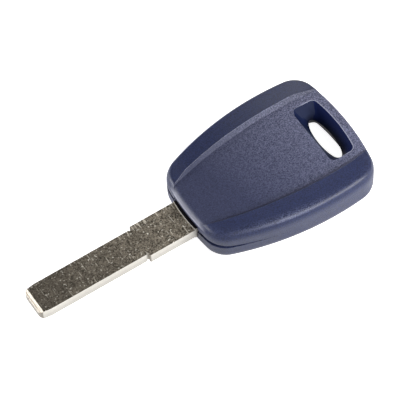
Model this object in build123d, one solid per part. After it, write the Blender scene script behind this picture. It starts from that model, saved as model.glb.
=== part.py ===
from build123d import *
from math import radians, tan
import os

# Transponder key: a plain uncut blade held between two moulded head halves,
# with a glass transponder capsule lying across the head behind the blade's tang.
# Sizes are in millimetres. +X runs from the blade's tip to the key ring end and +Z is up.
# While the pieces are made, x = 0 is the foremost point of the head and z = 0 is the
# middle of the blade. The last lines move them on to the flat back of the lower half.

# Blade
blade_reach = 38.0
blade_width = 7.2
blade_thickness = 2.7
root_width = 8.5
root_length = 11.3
tip_bevel_length = 0.85
tip_bevel_depth = 0.55
tip_corner_radius = 1.0
tip_taper_length = 2.6
tip_taper_depth = 0.35
root_slant_length = 0.35
root_notch_radius = 0.3

# Collar and tang, which the head grips
collar_reach = 0.6
collar_length = 2.6
collar_step = 0.3
collar_front_radius = 33.0
collar_edge_round = 0.18
tang_width = 7.0
tang_length = 14.5
tang_end_radius = 2.0
tang_hole_diameter = 3.6
tang_hole_at = 9.5

# Head outline, seen from above: two side arcs, a front arc and a rear arc
head_length = 41.4
head_width = 32.2
head_widest_at = 28.3
side_radius = 69.0
front_radius = 52.0
rear_radius = 57.0
front_corner_radius = 5.7
rear_corner_radius = 5.8

# Heights of the head above and below the middle of the blade
seam_height = 0.4
wall_height = 2.8
panel_height = 4.5
crest_height = 4.75
ridge_height = 5.4
lower_depth = 4.5

# Upper half, outside: its sides lean in from the wall to a rounded crest, and bulging
# flanks rise from there to the ridges that stand on either side of the grip panel
side_lean = 18.0
wall_round = 4.0
crest_round = 1.1
flank_width = 5.1
flank_radius = 30.0
ridge_radius = 106.5
panel_width = 19.8
panel_widest_at = 29.9
notch_height = 2.5
notch_margin = 0.35
notch_depth = 3.2

# Lower half, outside
back_round = 3.0
back_panel_depth = 0.35
back_panel_start = 5.0
back_panel_end = 27.0
back_panel_corner = 2.5

# Parting gap, widest at the front and closing along the sides
gap_length = 17.0
gap_height = 1.2

# Key ring hole: narrowest at the middle, wider towards both faces
ring_waist_at = 35.9
ring_waist_length = 3.5
ring_waist_width = 11.7
ring_mouth_front = 32.2
ring_mouth_rear = 38.1
ring_mouth_front_width = 16.0
ring_mouth_rear_width = 15.6
ring_mouth_bulge = 0.8
ring_mouth_corner = 1.3
back_mouth_spread = 0.3

# Walls, lip and locating posts inside the head
wall = 1.5
lip_inset = 1.0
lip_thickness = 0.9
lip_height = 1.5
fit_clearance = 0.1
ring_wall = 1.6
front_wall = 5.0
ear_width = 0.8
ear_set_back = 0.2
post_diameter = 2.2
post_height = 1.4
boss_wall = 1.2
front_post_at = 6.8
front_post_spread = 13.6
rear_post_at = 27.0
rear_post_spread = 23.0

# Transponder capsule and what is sealed in it
capsule_at = 21.5
capsule_diameter = 3.0
capsule_length = 13.3
glass_wall = 0.3
core_diameter = 1.4
core_length = 7.6
coil_length = 6.4
coil_diameter = 2.2
chip_board_length = 2.4
chip_board_width = 1.5
chip_board_thickness = 0.3
chip_size = 1.1
chip_thickness = 0.35
rib_width = 1.2
rib_spacing = 8.4

# Worked out from the sizes above
half_width = head_width / 2
half_blade = blade_thickness / 2
side_centre_y = half_width - side_radius
crease_centre_y = panel_width / 2 - ridge_radius
lip_outside = lip_inset + fit_clearance
lip_inside = lip_outside + lip_thickness
collar_end = collar_length - collar_reach
core_centre_y = -chip_board_length / 2
high = 2 * ridge_height
across = 2 * head_width


def mirrored_discs(radius, x, y):
    """The overlap of two equal discs that stand on either side of the X axis."""
    return Pos(x, y) * Circle(radius) & Pos(x, -y) * Circle(radius)


def head_outline(inset=0.0):
    """The head seen from above, or the same outline drawn in by an inset."""
    plan = mirrored_discs(side_radius - inset, head_widest_at, side_centre_y)
    plan &= Pos(front_radius, 0) * Circle(front_radius - inset)
    plan &= Pos(head_length - rear_radius, 0) * Circle(rear_radius - inset)
    plan = fillet(plan.vertices().sort_by(Axis.X)[:2], front_corner_radius - inset)
    return fillet(plan.vertices().sort_by(Axis.X)[-2:], rear_corner_radius - inset)


def prism(sketch, bottom, top):
    """A flat sketch raised from one height to another."""
    return extrude(Pos(0, 0, bottom) * sketch, top - bottom)


def panel_outline(spread=0.0):
    """The long grip panel between its two crease lines, widened by a spread."""
    return mirrored_discs(ridge_radius + spread, panel_widest_at, crease_centre_y)


def ring_waist():
    return Pos(ring_waist_at, 0) * Ellipse(ring_waist_length / 2, ring_waist_width / 2)


def ring_mouth(spread=0.0):
    """The ring hole where it opens on a face: four sides, the rear one bulging."""
    front = ring_mouth_front - spread
    rear = ring_mouth_rear + spread
    front_half = ring_mouth_front_width / 2 + spread
    rear_half = ring_mouth_rear_width / 2 + spread
    sides = Polyline((rear, -rear_half), (front, -front_half), (front, front_half), (rear, rear_half))
    bulge = ThreePointArc(sides @ 1, (rear + ring_mouth_bulge, 0), sides @ 0)
    mouth = make_face([sides, bulge])
    return fillet(mouth.vertices(), ring_mouth_corner + max(spread, 0))


def ring_funnel(reach, spread=0.0):
    """One half of the ring hole, from its waist at the seam to a mouth on a face."""
    waist = Pos(0, 0, seam_height) * ring_waist()
    mouth = Pos(0, 0, seam_height + reach) * ring_mouth(spread)
    return loft([waist, mouth], ruled=True)


def trimmed(shell, waste):
    """A half of the head less a waste section, drawn with x inwards, swept round its outline."""
    path = head_outline().face().outer_wire()
    inwards = Vector(0, 0, 1).cross(path % 0)
    section = Plane(origin=path @ 0, x_dir=inwards, z_dir=path % 0) * waste
    return shell - sweep(section, path=path)


def corner_round(sketch, corner, radius):
    """A sketch with the one corner nearest to a point rounded."""
    return fillet(sketch.vertices().sort_by_distance(corner)[:1], radius)


def upper_form(crest, top):
    """The upper half with its crest at one height and the inside of its flanks at another."""
    foot = (0, wall_height)
    shoulder = ((crest - wall_height) * tan(radians(side_lean)), crest)
    inside = (flank_width, top)
    flank = RadiusArc(shoulder, inside, -flank_radius) if top > crest else Line(shoulder, inside)
    below = (0, wall_height - crest_round)
    around = [inside, (flank_width, high), (-1, high), (-1, wall_height - crest_round), below, foot]
    waste = make_face([flank, Polyline(*around, shoulder)])
    waste = corner_round(waste, shoulder, crest_round)
    waste = corner_round(waste, foot, wall_round)
    return trimmed(prism(head_outline(), seam_height, top), waste)


def parting_gap():
    """The wedge of air between the halves, which closes along an arc."""
    radius = (gap_length**2 + gap_height**2) / (2 * gap_height)
    front = -1.0
    wedge = Pos(gap_length / 2 + front / 2, seam_height) * Rectangle(gap_length - front, 4 * gap_height)
    wedge -= Pos(gap_length, seam_height + radius) * Circle(radius)
    wedge &= Pos(gap_length / 2, seam_height) * Rectangle(gap_length + 4, 2 * gap_height)
    return extrude(Plane.XZ * wedge, across, both=True)


def upper_outside():
    """The flanks and their crest, with the grip panel sunk between two 45 degree walls."""
    sunk = panel_height - wall_height
    panel = extrude(Pos(0, 0, wall_height) * panel_outline(-sunk), high, taper=-45)
    return upper_form(crest_height, ridge_height) - (panel - upper_form(panel_height, panel_height))


def lower_outside():
    """The flat back with its rounded edge and a shallow grip panel sunk into it."""
    edge = Pos(back_round / 2, back_round / 2 - lower_depth) * Rectangle(back_round, back_round)
    edge -= Pos(back_round, back_round - lower_depth) * Circle(back_round)
    shell = trimmed(prism(head_outline(), -lower_depth, seam_height), edge)
    panel = panel_outline() & strip(back_panel_start, back_panel_end, across)
    panel = fillet(panel.vertices(), back_panel_corner)
    recess = extrude(Pos(0, 0, -lower_depth) * panel, back_panel_depth, taper=45)
    return shell - recess


def strip(start, end, width):
    """A flat strip along the middle of the key from one x to another."""
    return Pos((start + end) / 2, 0) * Rectangle(end - start, width)


def front_block(inset):
    """The solid front of a half, which holds the blade, seen from above."""
    return head_outline(inset) & strip(-1, front_wall, across)


def ring_island(extra=0.0):
    """The ring hole and the wall round it, seen from above."""
    return ring_mouth(ring_wall + extra)


def post_places():
    front = [(front_post_at, side * front_post_spread / 2) for side in (-1, 1)]
    rear = [(rear_post_at, side * rear_post_spread / 2) for side in (-1, 1)]
    return front + rear


def blade_channel():
    """The room that the collar and the tang need in the two halves."""
    collar = strip(-2, collar_end + fit_clearance, root_width + 2 * fit_clearance)
    tang = strip(0, tang_length + fit_clearance, tang_width + 2 * fit_clearance)
    collar_half = half_blade + collar_step
    return prism(collar, -collar_half, collar_half) + prism(tang, -half_blade, half_blade)


def tang_rails():
    """Two rails, one over or under each long edge of the tang and beside it."""
    start = front_wall - wall
    end = tang_length + fit_clearance + wall
    return strip(start, end, tang_width + 2 * wall) - strip(start, end, tang_width - 2 * wall)


def capsule_ribs():
    """Four ribs seen from above: two hold the capsule and one stands at each of its ends."""
    rib_length = capsule_diameter + 2 * wall
    stop = capsule_length / 2 + fit_clearance + rib_width / 2
    places = [-stop, -rib_spacing / 2, rib_spacing / 2, stop]
    return Sketch() + [Pos(capsule_at, y) * Rectangle(rib_length, rib_width) for y in places]


def upper_shell():
    roof = seam_height + lip_height + fit_clearance
    ceiling = panel_height - wall
    hollow = head_outline(lip_inset) - front_block(lip_inside + fit_clearance) - ring_island()
    shell = upper_outside() - parting_gap()
    shell -= prism(hollow, 0, roof)
    shell -= prism(hollow & panel_outline(-wall), 0, ceiling)
    shell += prism(tang_rails(), seam_height, ceiling)
    shell += prism(capsule_ribs(), capsule_diameter / 2 + fit_clearance, ceiling)
    for x, y in post_places():
        boss = Pos(x, y) * Circle(post_diameter / 2 + fit_clearance + boss_wall)
        bore = Pos(x, y) * Circle(post_diameter / 2 + fit_clearance)
        shell += prism(boss, seam_height, roof)
        shell -= prism(bore, 0, seam_height + post_height + fit_clearance)
    slot = strip(-1, notch_depth, root_width + 2 * notch_margin)
    shell -= prism(slot, 0, notch_height)
    shell -= blade_channel()
    return shell - ring_funnel(panel_height - seam_height)


def lip():
    """The tongue that stands up from the lower half and closes the parting gap from behind."""
    ring = head_outline(lip_outside) - head_outline(lip_inside) - ring_island(fit_clearance)
    slot = strip(-1, notch_depth, root_width + 2 * notch_margin)
    return prism(ring - slot, 0, seam_height + lip_height)


def ears():
    """Two small lugs that stand in the parting gap on either side of the blade."""
    inside = root_width + 2 * fit_clearance
    pair = strip(0, front_wall, inside + 2 * ear_width) - strip(0, front_wall, inside)
    pair &= head_outline(ear_set_back) - head_outline(lip_inside)
    return prism(pair, 0, high) & Pos(0, 0, -fit_clearance) * parting_gap()


def lower_shell():
    floor = wall - lower_depth
    hollow = head_outline(lip_inside) - front_block(lip_inside) - ring_island()
    shell = lower_outside() - prism(hollow, floor, high)
    shell += prism(tang_rails(), floor, seam_height)
    shell += prism(capsule_ribs(), floor, 0)
    seat = Cylinder(capsule_diameter / 2 + fit_clearance, capsule_length + 2 * fit_clearance)
    shell -= Pos(capsule_at, 0, fit_clearance) * Rot(90, 0, 0) * seat
    for x, y in post_places():
        shell += prism(Pos(x, y) * Circle(post_diameter / 2), floor, seam_height + post_height)
    shell = shell + lip() + ears() - blade_channel()
    pin = Pos(tang_hole_at, 0) * Circle(tang_hole_diameter / 2 - fit_clearance)
    shell += prism(pin, floor, panel_height - wall)
    return shell - ring_funnel(-lower_depth - seam_height, back_mouth_spread)


def blade_plan():
    """The blade and its tang seen from above, with the step where the wider root begins."""
    tip = -blade_reach
    shoulder = -root_length
    half = blade_width / 2
    root = root_width / 2
    narrow_tip = half - tip_taper_depth
    outline = Polyline(
        (tip, 0),
        (tip, narrow_tip),
        (tip + tip_taper_length, half),
        (shoulder - root_slant_length, half),
        (shoulder, root),
        (collar_end, root),
        (collar_end, tang_width / 2),
        (tang_length, tang_width / 2),
        (tang_length, 0),
    )
    upper_half = make_face([outline, Line(outline @ 1, outline @ 0)])
    plan = upper_half + mirror(upper_half, Plane.XZ)
    tip_corners = plan.vertices().sort_by(Axis.X)[:2]
    plan = fillet(tip_corners, tip_corner_radius)
    tang_corners = plan.vertices().sort_by(Axis.X)[-2:]
    plan = fillet(tang_corners, tang_end_radius)
    for side in (-1, 1):
        plan -= Pos(shoulder - root_slant_length, side * half) * Circle(root_notch_radius)
    return plan - Pos(tang_hole_at, 0) * Circle(tang_hole_diameter / 2)


def key_blade():
    blade = prism(blade_plan(), -half_blade, half_blade)
    for side in (-1, 1):
        corner = Plane.XZ * make_face(
            Polyline(
                (-blade_reach, side * (half_blade - tip_bevel_depth)),
                (-blade_reach + tip_bevel_length, side * half_blade),
                (-blade_reach, side * half_blade),
                close=True,
            )
        )
        blade -= extrude(corner, across, both=True)
    collar = Pos(collar_front_radius - collar_reach, 0) * Circle(collar_front_radius)
    collar &= strip(-2, collar_end, root_width)
    collar = prism(collar, -half_blade - collar_step, half_blade + collar_step)
    front_edges = collar.edges().filter_by(GeomType.CIRCLE)
    return blade + fillet(front_edges, collar_edge_round)


def glass_capsule():
    """A round-ended glass rod lying across the head, with a straight bore sealed inside it."""
    straight = capsule_length - capsule_diameter
    rod = Rot(90, 0, 0) * Cylinder(capsule_diameter / 2, straight)
    rod += [Pos(0, side * straight / 2, 0) * Sphere(capsule_diameter / 2) for side in (-1, 1)]
    rod -= Rot(90, 0, 0) * Cylinder(capsule_diameter / 2 - glass_wall, straight)
    return Pos(capsule_at, 0, 0) * rod


def ferrite_core():
    rod = Rot(90, 0, 0) * Cylinder(core_diameter / 2, core_length)
    return Pos(capsule_at, core_centre_y, 0) * rod


def antenna_coil():
    """The close-wound coil as one sleeve that fits the core."""
    ring = Circle(coil_diameter / 2) - Circle(core_diameter / 2)
    sleeve = extrude(Plane.XZ * ring, coil_length / 2, both=True)
    return Pos(capsule_at, core_centre_y, 0) * sleeve


def chip_board():
    board = Box(chip_board_width, chip_board_length, chip_board_thickness)
    return Pos(capsule_at, core_centre_y + core_length / 2 + chip_board_length / 2, 0) * board


def transponder_chip():
    chip = Box(chip_size, chip_size, chip_thickness)
    height = (chip_board_thickness + chip_thickness) / 2
    return Pos(capsule_at, core_centre_y + core_length / 2 + chip_board_length / 2, height) * chip


parts = {
    "upper_shell": upper_shell(),
    "lower_shell": lower_shell(),
    "key_blade": key_blade(),
    "glass_capsule": glass_capsule(),
    "ferrite_core": ferrite_core(),
    "antenna_coil": antenna_coil(),
    "chip_board": chip_board(),
    "transponder_chip": transponder_chip(),
}

# The key lies on its flat back with its middle over the origin
stand = Pos((blade_reach - head_length) / 2, 0, lower_depth)
os.makedirs("parts", exist_ok=True)
for name, solid in parts.items():
    export_step(stand * solid, f"parts/{name}.step")
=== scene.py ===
import math
from types import SimpleNamespace

import bmesh
import bpy
from mathutils import Matrix, Vector


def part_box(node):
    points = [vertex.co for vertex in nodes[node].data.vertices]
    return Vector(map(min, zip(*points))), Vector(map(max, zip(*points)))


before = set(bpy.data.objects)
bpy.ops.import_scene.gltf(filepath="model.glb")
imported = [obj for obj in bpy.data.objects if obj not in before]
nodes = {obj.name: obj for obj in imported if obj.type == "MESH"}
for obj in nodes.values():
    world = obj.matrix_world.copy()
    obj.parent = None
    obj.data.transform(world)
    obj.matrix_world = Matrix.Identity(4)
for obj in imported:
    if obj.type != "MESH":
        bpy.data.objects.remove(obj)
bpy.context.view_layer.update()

MM = 0.001

# Places, heights and lengths are in millimetres in the key's own frame. A pair of them says
# where a change of finish begins and where it ends.
BLADE_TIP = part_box("key_blade")[0].x / MM
BLADE_REACH = 38.0
HEAD_FRONT = BLADE_TIP + BLADE_REACH
HEAD_MIDDLE = Vector((19.0, 0.0, 5.0))

# The front grip panel lies between two creases, arcs about a centre on either side of the key.
# Its walls stand at 45 degrees, and at its ends the panel rounds down.
PANEL_HEIGHT = 9.0
PANEL_WIDTH = 19.8
PANEL_WIDEST_AT = HEAD_FRONT + 29.9
PANEL_END_DROP = 0.8
CREASE_RADIUS = 106.5
CREASE_CENTRE = CREASE_RADIUS - PANEL_WIDTH / 2
BACK_PANEL_HEIGHT = 0.35
# How far a point may lie off a face and still be taken for a part of it
FACE_MARGIN = 0.03
WALL_MARGIN = 0.02

# The ring hole is wider across the key than along it, and its walls lie within a reach of its
# middle that is measured along the key
HOLE_MIDDLE = (34.0, 0.0, 0.0)
HOLE_REACH = 4.3
HOLE_LENGTH_TO_WIDTH = 0.42
HOLE_SHADE = (6.4, 5.0)
MOUTH_DEPTH = 0.3
MOUTH_HALF_WIDTH = 8.3
# The painted highlight round the mouth grows between these places along the key
MOUTH_HIGHLIGHT_GROWS = (32.0, 34.0)

# Painted light on the head: a sheen toward the ring, highlights on ridge, crest and front edge,
# glints beside the crest; also where the head shines more or less, and how far its edges round
SHEEN_TOWARD_RING = (8.0, 38.0)
SHEEN_SLANT = 0.35
RIDGE_RISE = 0.22
CREST_HIGHLIGHT_FOOT = 7.6
CREST_HIGHLIGHT_GROWS = (4.0, 16.0)
CREST_HIGHLIGHT_FADES = (15.0, 25.0)
CREST_GLINTS_TOP = (9.42, 9.27)
CREST_GLINTS_GROW = (4.0, 14.0)
CREST_GLINTS_FADE = (18.0, 28.0)
LEAN_TOP = (7.3, 8.0)
FRONT_HIGHLIGHT = (8.9, 7.6)
FRONT_HIGHLIGHT_FOOT = 7.5
FRONT_HIGHLIGHT_FADES = (1.0, 3.0)
FRONT_HIGHLIGHT_ENDS = (4.5, 7.0)
GLOSS_STARTS = (2.0, 5.0)
GLOSS_GROWS = (12.0, 34.0)
EDGE_REACH = 0.3
EDGE_ROUND = 0.18

# The blade, from its tip to the slot over its collar
TIP_MOTTLE_FADES = (BLADE_TIP, -8.0)
TIP_EDGE_REACH = 0.2
TIP_LINE_LOW = 5.41
TIP_LINE_HIGH = 5.55
TIP_LINE_LENGTH = 0.7
TIP_END_HEIGHT = 5.29
# The face is painted brighter toward the head, as painted light, between these places
FACE_PAINTED_LIGHT = (BLADE_TIP, -4.0)
SIDE_DULLS = (5.4, 4.0)
SCRATCHED_EDGE = (2.5, 3.5)
COLLAR_REACH = 0.6
COLLAR_RADIUS = 33.0
COLLAR_EDGE = 0.2
COLLAR_CENTRE = (HEAD_FRONT - COLLAR_REACH + COLLAR_RADIUS, 0.0, 0.0)

# The widths and depths of the patterns. Eroded grain and an etched mottle are near 0.1 mm wide,
# and both are drawn coarser so that they show.
GRAIN_WIDTH = 0.27
GRAIN_DEPTH = 0.15
CLOUD_WIDTH = 6.25
MOTTLE_WIDTH = 1 / 3
MOTTLE_DEPTH = 0.1
BLOTCH_WIDTH = 2.0
SPECK_WIDTH = 0.476
SCRATCH_SIZE = (0.3676, 3.571, 1.25)
UNEVEN_WIDTH = 0.25
UNEVEN_DEPTH = 0.05

# The white sheet under the key
FLOOR_HALF_WIDTH = 3000.0
FLOOR_GLOW_FADES = (25.0, 70.0)


def colour(hex_code):
    """An sRGB hex colour turned into the linear one that a shader takes."""
    values = [int(hex_code[i : i + 2], 16) / 255 for i in (0, 2, 4)]
    return (*[v / 12.92 if v <= 0.04045 else ((v + 0.055) / 1.055) ** 2.4 for v in values], 1.0)


def add(tree, kind, inputs=(), out=0, **settings):
    """Adds a shader node and gives one of its outputs. Its inputs come by name or in the node's
    own order, and each is a value, an sRGB hex colour or another node's output."""
    node = tree.nodes.new("ShaderNode" + kind)
    for name, value in settings.items():
        setattr(node, name, value)
    for socket, value in inputs.items() if isinstance(inputs, dict) else enumerate(inputs):
        if isinstance(value, bpy.types.NodeSocket):
            tree.links.new(value, node.inputs[socket])
        else:
            node.inputs[socket].default_value = colour(value) if isinstance(value, str) else value
    return node.outputs[out] if node.outputs else node


def where(tree, *parts):
    """A mask, the product of its parts. A part is a mask or a number; a test such as
    (height, ">", 9.0), which is one where it holds; or a ramp such as (height, 7.0, 8.0, 0.2, 1.0),
    which goes from 0.2 to 1.0 as the height goes from 7.0 to 8.0 and holds its ends past them."""
    tests = {">": "GREATER_THAN", "<": "LESS_THAN"}
    mask = None
    for part in parts:
        if isinstance(part, tuple) and part[1] in tests:
            part = add(tree, "Math", (part[0], part[2]), operation=tests[part[1]])
        elif isinstance(part, tuple):
            part = add(tree, "MapRange", part)
        mask = part if mask is None else add(tree, "Math", (mask, part), operation="MULTIPLY")
    return mask


def paint(tree, base, *layers):
    """Colours laid over a base in turn. A layer is its colour and then the parts of its mask."""
    for over, *parts in layers:
        # A Mix node's inputs 6 and 7 are its two colours, and its output 2 is the mixed one
        inputs = {"Factor": where(tree, *parts), 6: base, 7: over}
        base = add(tree, "Mix", inputs, out=2, data_type="RGBA")
    return base


def start_material(name):
    """A new material's tree, with the piece's own coordinates in millimetres."""
    material = bpy.data.materials.new(name)
    material.use_nodes = True
    tree = material.node_tree
    tree.nodes.clear()
    metres = add(tree, "TexCoord", out="Object")
    place = add(tree, "VectorMath", {0: metres, "Scale": 1 / MM}, operation="SCALE")
    return material, tree, place


def survey(tree, place):
    """Where each point lies and which way it faces, for the masks. Its level is the cosine of its
    slope: one on a flat face, whichever way up, and zero on an upright one."""
    at = SimpleNamespace(place=place)
    at.x, at.y, at.z = add(tree, "SeparateXYZ", (place,)).node.outputs
    at.aside = add(tree, "Math", (at.y,), operation="ABSOLUTE")
    at.normal = add(tree, "NewGeometry", out="Normal")
    at.facing_x, at.facing_y, facing_z = add(tree, "SeparateXYZ", (at.normal,)).node.outputs
    at.level = add(tree, "Math", (facing_z,), operation="ABSOLUTE")
    return at


def edge_mask(tree, at, reach):
    """Near one within a small reach of a sharp edge and zero on smooth faces."""
    rounded = add(tree, "Bevel", {"Radius": reach * MM}, samples=4)
    alike = add(tree, "VectorMath", (at.normal, rounded), out="Value", operation="DOT_PRODUCT")
    # The cosines of about 6 and 18 degrees between the face and its rounded edge
    return where(tree, (alike, 0.995, 0.95, 0.0, 1.0))


def panel_masks(tree, at):
    """Two masks for the head. The first is one inside the crease arcs of the front grip panel, on
    its walls and round its ends, and on the sunken floor of the back one; the second is one on the
    walls alone. Both are zero on the polished flanks and in the ring hole."""
    along = add(tree, "Math", (at.x, PANEL_WIDEST_AT), operation="SUBTRACT")
    across = add(tree, "Math", (at.aside, CREASE_CENTRE), operation="ADD")
    flat_place = add(tree, "CombineXYZ", (along, across))
    reach = add(tree, "VectorMath", (flat_place,), out="Value", operation="LENGTH")
    # The walls stand at 45 degrees, so the arcs grow by a millimetre for each one of height
    risen = add(tree, "Math", (at.z, PANEL_HEIGHT), operation="SUBTRACT")
    grown = add(tree, "Math", (reach, risen), operation="SUBTRACT")
    front = where(
        tree,
        (grown, "<", CREASE_RADIUS + FACE_MARGIN),
        (at.z, ">", PANEL_HEIGHT - PANEL_END_DROP),
        (at.level, ">", 0.6),
    )
    back = where(
        tree,
        (at.z, ">", BACK_PANEL_HEIGHT - FACE_MARGIN),
        (at.z, "<", BACK_PANEL_HEIGHT + FACE_MARGIN),
        (at.level, ">", 0.995),
    )
    wall = where(tree, front, (at.z, ">", PANEL_HEIGHT + WALL_MARGIN))
    return add(tree, "Math", (front, back), operation="MAXIMUM"), wall


def hole_masks(tree, at):
    """One all round the ring hole, and one on its steep walls alone."""
    middle = add(tree, "VectorMath", (at.place, HOLE_MIDDLE), operation="SUBTRACT")
    flatten = (1.0, HOLE_LENGTH_TO_WIDTH, 0.0)
    flat_place = add(tree, "VectorMath", (middle, flatten), operation="MULTIPLY")
    reach = add(tree, "VectorMath", (flat_place,), out="Value", operation="LENGTH")
    near = where(tree, (reach, "<", HOLE_REACH))
    return near, where(tree, near, (at.level, "<", 0.9), (at.z, "<", PANEL_HEIGHT - WALL_MARGIN))


def panel_colour(tree, grain, painted_sheen):
    """Dark pits and paler tops of the eroded grain; a painted sheen lightens them toward the ring, the tops
    most.
    """
    pits = paint(tree, "191f3e", ("1c203c", painted_sheen))
    tops = paint(tree, "353b5e", ("8285a2", painted_sheen))
    return paint(tree, pits, (tops, (grain, 0.39, 0.63, 0.0, 1.0)))


def hole_light_and_shade(tree, at):
    """The ring hole's walls are dark, with light and shade painted on them: the front wall and the one at
    the +Y end are painted a little paler as lit, and the waist is painted dark as shade."""
    return paint(
        tree,
        "182046",
        ("1d2544", (at.facing_x, ">", 0.3)),
        ("2d334c", (at.facing_y, "<", -0.6)),
        ("05060e", (at.z, *HOLE_SHADE, 0.0, 0.7)),
    )


def painted_edge_highlights(tree, at, near_hole, painted_lit_wall, painted_sheen):
    """One where a highlight is painted on a sharp edge: on top of the lit panel wall and round the mouth of
    the ring hole, but little at the mouth's front."""
    ridge = where(
        tree, painted_lit_wall, (at.z, ">", PANEL_HEIGHT + RIDGE_RISE), (painted_sheen, 0.6, 1.0, 0.4, 0.1)
    )
    mouth = where(
        tree,
        near_hole,
        (at.z, ">", PANEL_HEIGHT - MOUTH_DEPTH),
        (at.z, "<", PANEL_HEIGHT + MOUTH_DEPTH),
        (at.aside, "<", MOUTH_HALF_WIDTH),
        (at.x, *MOUTH_HIGHLIGHT_GROWS, 0.15, 0.8),
    )
    painted_light = add(tree, "Math", (ridge, mouth), operation="MAXIMUM")
    return where(tree, edge_mask(tree, at, EDGE_REACH), painted_light)


def moulded_abs():
    """Navy ABS out of a steel mould. The sunken panels and their walls have the fine spark-eroded
    grain that scatters light and looks paler; the flanks came off polished steel and shine. Light and
    shade are painted over it: a sheen toward the ring, a lit and a shaded panel wall, highlights on
    edges, on the crest and on the front edge, glints beside the crest, and light and shade in the hole."""
    material, tree, place = start_material("moulded_navy_abs")
    at = survey(tree, place)
    grain_pattern = {"Vector": place, "Scale": 1 / GRAIN_WIDTH, "Detail": 3.0, "Roughness": 0.8}
    grain = add(tree, "TexNoise", grain_pattern)
    grained, wall = panel_masks(tree, at)
    near_hole, hole = hole_masks(tree, at)
    unpolished = add(tree, "Math", (grained, hole), operation="MAXIMUM")
    polished = add(tree, "Math", (1.0, unpolished), operation="SUBTRACT")
    # Painted sheen: the grain is painted paler near the ring, and more so toward +Y
    toward_ring = add(tree, "Math", (at.y, SHEEN_SLANT, at.x), operation="MULTIPLY_ADD")
    painted_sheen = where(tree, (toward_ring, *SHEEN_TOWARD_RING, 0.0, 1.0))
    # Painted light and shade on the panel walls: the one on the +Y side, facing -Y, is painted pale as lit,
    # and the one on the -Y side dark as shaded
    painted_lit_wall = where(tree, wall, (at.facing_y, "<", -0.3))
    painted_shaded_wall = where(tree, wall, (at.facing_y, ">", 0.3))
    base = paint(
        tree,
        "0e1430",
        ("25305a", (grain, 0.36, 0.64, 0.0, 1.0)),
        (panel_colour(tree, grain, painted_sheen), grained),
        # Painted light on the lit wall, painted shade on the shaded wall that fades near the ring, and the
        # lit wall painted darker again near the ring
        ("a6aac6", painted_lit_wall, 0.03),
        ("0c1026", painted_shaded_wall, (painted_sheen, 0.2, 1.0, 0.55, 0.25)),
        ("0c1026", painted_lit_wall, (painted_sheen, 0.75, 1.0, 0.0, 0.3)),
        # Painted light and shade on the walls of the ring hole
        (hole_light_and_shade(tree, at), hole),
        # Painted highlights along the panel wall's ridge and round the mouth of the ring hole
        ("c8cce2", painted_edge_highlights(tree, at, near_hole, painted_lit_wall, painted_sheen)),
        # Painted highlight: the rounded crest is painted pale over its grain
        (
            "8d92b0",
            polished,
            (at.level, 0.33, 0.5, 0.0, 1.0),
            (at.level, 0.9, 0.75, 0.0, 1.0),
            (at.z, ">", CREST_HIGHLIGHT_FOOT),
            (at.x, *CREST_HIGHLIGHT_GROWS, 0.1, 0.75),
            (at.x, *CREST_HIGHLIGHT_FADES, 1.0, 0.0),
            (grain, 0.4, 0.6, 0.15, 0.6),
        ),
        # Painted glints: single grains on the flank beside the crest are painted pale
        (
            "8d92b0",
            polished,
            (at.level, ">", 0.88),
            (at.z, *CREST_GLINTS_TOP, 0.0, 1.0),
            (at.x, *CREST_GLINTS_GROW, 0.2, 1.0),
            (at.x, *CREST_GLINTS_FADE, 1.0, 0.2),
            (at.y, "<", 0.0),
            (grain, 0.46, 0.6, 0.0, 0.33),
        ),
        # Painted highlight: the front edge beside the slot is painted pale
        (
            "a0a2b0",
            (at.z, *FRONT_HIGHLIGHT, 0.0, 1.0),
            (at.z, ">", FRONT_HIGHLIGHT_FOOT),
            (at.x, *FRONT_HIGHLIGHT_FADES, 1.0, 0.0),
            (at.aside, *FRONT_HIGHLIGHT_ENDS, 1.0, 0.0),
        ),
    )

    # The grained panels are rougher than the flanks, and handling leaves cloudy patches on both
    clouds = add(tree, "TexNoise", {"Vector": place, "Scale": 1 / CLOUD_WIDTH, "Detail": 2.0})
    patches = add(tree, "MapRange", (clouds, 0.3, 0.7, -0.03, 0.03))
    moulded = add(tree, "MapRange", (grained, 0.0, 1.0, 0.42, 0.55))
    # The hole, the lean under the crest and the front of the flank toward +Y shine less, and
    # that flank shines more near the ring
    lean = where(tree, polished, (at.level, 0.6, 0.33, 0.0, 1.0), (at.z, *LEAN_TOP, 0.0, 1.0))
    gloss = where(
        tree,
        polished,
        (at.level, ">", 0.8),
        (at.y, ">", 0.0),
        (at.x, *GLOSS_STARTS, 0.0, 1.0),
        (at.x, *GLOSS_GROWS, -0.4, 0.3),
    )
    flank_shine = add(tree, "Math", (gloss, 1.0), operation="ADD")
    relief = {
        "Height": grain,
        "Strength": where(tree, (grained, 0.0, 1.0, 0.4, 0.8)),
        "Distance": GRAIN_DEPTH * MM,
        "Normal": add(tree, "Bevel", {"Radius": EDGE_ROUND * MM}, samples=4),
    }
    surface = {
        "Base Color": base,
        "Roughness": add(tree, "Math", (moulded, patches), operation="ADD"),
        "IOR": 1.53,
        "Specular IOR Level": where(
            tree, (hole, 0.0, 1.0, 0.5, 0.02), (lean, 0.0, 1.0, 1.0, 0.65), flank_shine
        ),
        "Normal": add(tree, "Bump", relief),
    }
    add(tree, "OutputMaterial", {"Surface": add(tree, "BsdfPrincipled", surface)})
    return material


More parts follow.
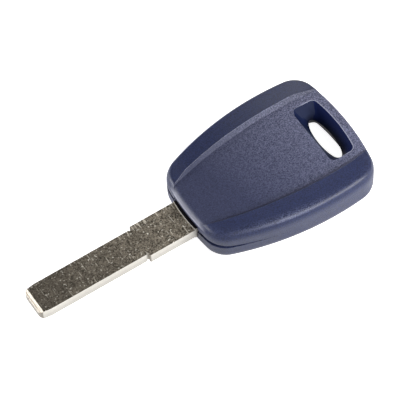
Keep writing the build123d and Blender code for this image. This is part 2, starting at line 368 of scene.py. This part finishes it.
def etched_face(tree, at, mottle):
    """The flat face of the blade: a dark warm grey mottle with bright specks and scratches."""
    specks = add(tree, "TexNoise", {"Vector": at.place, "Scale": 1 / SPECK_WIDTH, "Detail": 2.0})
    # The scratches run across the blade, some 0.4 mm wide and 3.6 mm long, and lie closer
    # together at its +Y edge
    drawn = add(tree, "VectorMath", (at.place, SCRATCH_SIZE), operation="DIVIDE")
    scratch_pattern = {"Vector": drawn, "Scale": 1.0, "Detail": 1.0, "Distortion": 0.5}
    scratches = add(tree, "TexNoise", scratch_pattern)
    closer = add(tree, "MapRange", (at.y, *SCRATCHED_EDGE, 0.0, 0.09))
    scratches = add(tree, "Math", (scratches, closer), operation="ADD")
    face = paint(
        tree,
        "28241d",
        ("a59b8b", (mottle, 0.38, 0.62, 0.0, 1.0)),
        # Toward the tip the mottle is fainter
        ("756d61", (at.x, *TIP_MOTTLE_FADES, 0.42, 0.1)),
        ("f4eee0", (specks, 0.63, 0.7, 0.0, 1.0)),
        ("e8e0d0", (scratches, 0.68, 0.74, 0.0, 0.8)),
    )
    # Painted light: the face is painted brighter next to the head than at the tip
    painted_light = where(tree, (at.x, *FACE_PAINTED_LIGHT, 0.66, 1.1))
    return add(tree, "VectorMath", {0: face, "Scale": painted_light}, operation="SCALE")


def cut_side(tree, at, fine):
    """The milled side of the blade is bright, and darker toward its lower edge. The tip's end is
    duller too and darker below its middle, and has a brown line round it and another along its bevel."""
    end = where(tree, (at.facing_x, "<", -0.3))
    bevel_line = where(
        tree,
        (at.z, ">", TIP_LINE_LOW),
        (at.z, "<", TIP_LINE_HIGH),
        (at.x, "<", BLADE_TIP + TIP_LINE_LENGTH),
    )
    return paint(
        tree,
        "cecac2",
        ("efebe3", fine),
        ("8e8b84", (at.z, *SIDE_DULLS, 0.0, 0.28)),
        ("a19b91", end),
        ("5c5247", end, edge_mask(tree, at, TIP_EDGE_REACH), 0.6),
        ("5c5247", bevel_line, 0.7),
        ("7d776e", end, (at.z, "<", TIP_END_HEIGHT), 0.35),
    )


def plated_blade():
    """Brass plated with nickel and milled: the flat faces are etched to a dark warm grey with
    bright specks and scratches; the cut sides are bright, and the top inside the slot is painted dark as
    shadow."""
    material, tree, place = start_material("worn_nickel_plate")
    at = survey(tree, place)
    fine_pattern = {"Vector": place, "Scale": 1 / MOTTLE_WIDTH, "Detail": 3.0, "Roughness": 0.75}
    fine = add(tree, "TexNoise", fine_pattern)
    blotches = add(tree, "TexNoise", {"Vector": place, "Scale": 1 / BLOTCH_WIDTH, "Detail": 2.0})
    uneven = add(tree, "MapRange", (blotches, 0.3, 0.7, -0.045, 0.045))
    mottle = add(tree, "Math", (fine, uneven), operation="ADD")
    etched = where(tree, (at.level, ">", 0.98))
    # Painted highlight and shadow: the collar's rounded edge is painted as a pale line and its top behind
    # it as a dark slot
    middle = add(tree, "VectorMath", (place, COLLAR_CENTRE), operation="SUBTRACT")
    flat_place = add(tree, "VectorMath", (middle, (1.0, 1.0, 0.0)), operation="MULTIPLY")
    inward = add(tree, "VectorMath", (flat_place,), out="Value", operation="LENGTH")
    above = where(tree, (at.level, ">", 0.3))
    tone = paint(
        tree,
        cut_side(tree, at, fine),
        (etched_face(tree, at, mottle), etched),
        ("6b6864", above, (inward, "<", COLLAR_RADIUS)),
        ("1c1a20", above, (inward, "<", COLLAR_RADIUS - COLLAR_EDGE)),
    )
    relief = {"Height": mottle, "Strength": 0.5, "Distance": MOTTLE_DEPTH * MM}
    surface = {
        "Base Color": tone,
        "Metallic": 0.7,
        "Roughness": where(tree, (etched, 0.0, 1.0, 0.35, 0.5)),
        "Normal": add(tree, "Bump", relief),
    }
    add(tree, "OutputMaterial", {"Surface": add(tree, "BsdfPrincipled", surface)})
    return material


def plain(name, hex_code, roughness, metallic=0.0, transmission=0.0):
    """The finish of a small piece sealed in the head: one colour on a faintly uneven surface."""
    material, tree, place = start_material(name)
    uneven = add(tree, "TexNoise", {"Vector": place, "Scale": 1 / UNEVEN_WIDTH, "Detail": 3.0})
    relief = {"Height": uneven, "Strength": 0.1, "Distance": UNEVEN_DEPTH * MM}
    surface = {
        "Base Color": hex_code,
        "Roughness": roughness,
        "Metallic": metallic,
        "Transmission Weight": transmission,
        "Normal": add(tree, "Bump", relief),
    }
    add(tree, "OutputMaterial", {"Surface": add(tree, "BsdfPrincipled", surface)})
    return material


def finish_nodes():
    """Gives each piece its finish; the record's slot for each finish is listed beside it but not used."""
    plastic = moulded_abs()
    finishes = {
        "upper_shell": (plastic, "head_plastic"),
        "lower_shell": (plastic, "head_plastic"),
        "key_blade": (plated_blade(), "plated_brass"),
        # Clear glass with a faint green tint, drawn to a tube and fused at its ends
        "glass_capsule": (plain("sealed_capsule_glass", "9fc4b0", 0.05, transmission=0.9), "capsule_glass"),
        # Fired ferrite ground to a dull dark grey
        "ferrite_core": (plain("ground_ferrite", "2b2c30", 0.5), "ferrite"),
        # Hair-thin copper wire, whose clear enamel lets the orange metal shine through
        "antenna_coil": (plain("enamelled_copper_wire", "b4643a", 0.3, metallic=1.0), "copper_wire"),
        # Glass-fibre board under a green lacquer with a soft shine
        "chip_board": (plain("glass_fibre_board", "1d5a34", 0.4), "board"),
        # Epoxy cast black round the chip, smooth and half dull
        "transponder_chip": (plain("cast_black_epoxy", "151517", 0.35), "chip_epoxy"),
    }
    for name, (material, slot) in finishes.items():
        nodes[name].data.materials.clear()
        nodes[name].data.materials.append(material)


def set_camera():
    """The photograph's viewpoint: a long lens from above the blade's side of the head. Its
    angles, in radians, its distance and its lens were fitted to the photograph."""
    azimuth, elevation, roll = -0.52387616, 1.0022023, -0.0604954
    distance, target = 567.973 * MM, Vector((3.4325, 2.2731, 4.5)) * MM
    outward = Vector((math.sin(azimuth), -math.cos(azimuth), 0))
    back = math.cos(elevation) * outward + math.sin(elevation) * Vector((0, 0, 1))
    level = Vector((math.cos(azimuth), math.sin(azimuth), 0))
    upright = back.cross(level)
    right = math.cos(roll) * level + math.sin(roll) * upright
    up = math.cos(roll) * upright - math.sin(roll) * level
    turn = Matrix((right, up, back)).transposed().to_4x4()
    data = bpy.data.cameras.new("camera")
    data.lens = 239.774
    data.sensor_width = 36.0
    data.clip_start = 0.01
    camera = bpy.data.objects.new("camera", data)
    camera.matrix_world = Matrix.Translation(target + distance * back) @ turn
    bpy.context.scene.collection.objects.link(camera)
    bpy.context.scene.camera = camera


def add_lamp(name, place, size, power):
    """A square softbox turned to face the head: place and size in millimetres, power in watts."""
    data = bpy.data.lights.new(name, "AREA")
    data.shape = "SQUARE"
    data.size = size * MM
    data.energy = power
    lamp = bpy.data.objects.new(name, data)
    spot = Vector(place) * MM
    turn = (spot - HEAD_MIDDLE * MM).to_track_quat("Z", "Y").to_matrix().to_4x4()
    lamp.matrix_world = Matrix.Translation(spot) @ turn
    bpy.context.scene.collection.objects.link(lamp)


def set_world():
    """A studio that is dim overhead and darker toward the horizon; the camera sees it white."""
    world = bpy.data.worlds.new("studio")
    bpy.context.scene.world = world
    world.use_nodes = True
    tree = world.node_tree
    tree.nodes.clear()
    direction = add(tree, "TexCoord", out="Generated")
    height = add(tree, "SeparateXYZ", (direction,), out="Z")
    dim = where(tree, (height, 0.15, 0.6, 0.12, 0.3))
    seen = add(tree, "LightPath", out="Is Camera Ray")
    # A Mix node's inputs 2 and 3 are its two plain values
    strength = add(tree, "Mix", {"Factor": seen, 2: dim, 3: 1.0}, data_type="FLOAT")
    studio = add(tree, "Background", {"Color": "ffffff", "Strength": strength})
    add(tree, "OutputWorld", {"Surface": studio})


def white_sheet():
    """Matte white card. It glows for the camera and through clear pieces, so that it shows white
    round a faint shadow, and the key's own finishes mirror that glow most from near the key."""
    material, tree, place = start_material("white_sheet")
    across = add(tree, "SeparateXYZ", (place,), out="Y")
    aside = add(tree, "Math", (across,), operation="ABSOLUTE")
    rays = add(tree, "LightPath").node.outputs
    straight = (rays["Is Camera Ray"], rays["Is Transmission Ray"])
    seen = where(tree, add(tree, "Math", straight, operation="MAXIMUM"), 0.93)
    mirrored = where(tree, rays["Is Glossy Ray"], (aside, *FLOOR_GLOW_FADES, 0.65, 0.15))
    glow = add(tree, "Math", (seen, mirrored), operation="ADD")
    matte = add(tree, "BsdfDiffuse", {"Color": "e7e7e7"})
    lift = add(tree, "Emission", {"Color": "ffffff", "Strength": glow})
    both = add(tree, "AddShader", (matte, lift))
    add(tree, "OutputMaterial", {"Surface": both})
    return material


def set_floor():
    """The sheet that the key lies on."""
    mesh = bpy.data.meshes.new("floor")
    sheet = bmesh.new()
    bmesh.ops.create_grid(sheet, x_segments=1, y_segments=1, size=FLOOR_HALF_WIDTH * MM)
    sheet.to_mesh(mesh)
    sheet.free()
    mesh.materials.append(white_sheet())
    floor = bpy.data.objects.new("floor", mesh)
    bpy.context.scene.collection.objects.link(floor)


finish_nodes()
set_floor()
set_world()
set_camera()
add_lamp("softbox_right", (78, -120, 110), 150, 0.18)
add_lamp("softbox_crest", (54, -80, 47), 40, 0.058)
add_lamp("softbox_left", (-450, 280, 130), 250, 3.1)
add_lamp("softbox_rear", (110, 120, 110), 60, 0.05)
bpy.context.scene.view_settings.view_transform = "Standard"
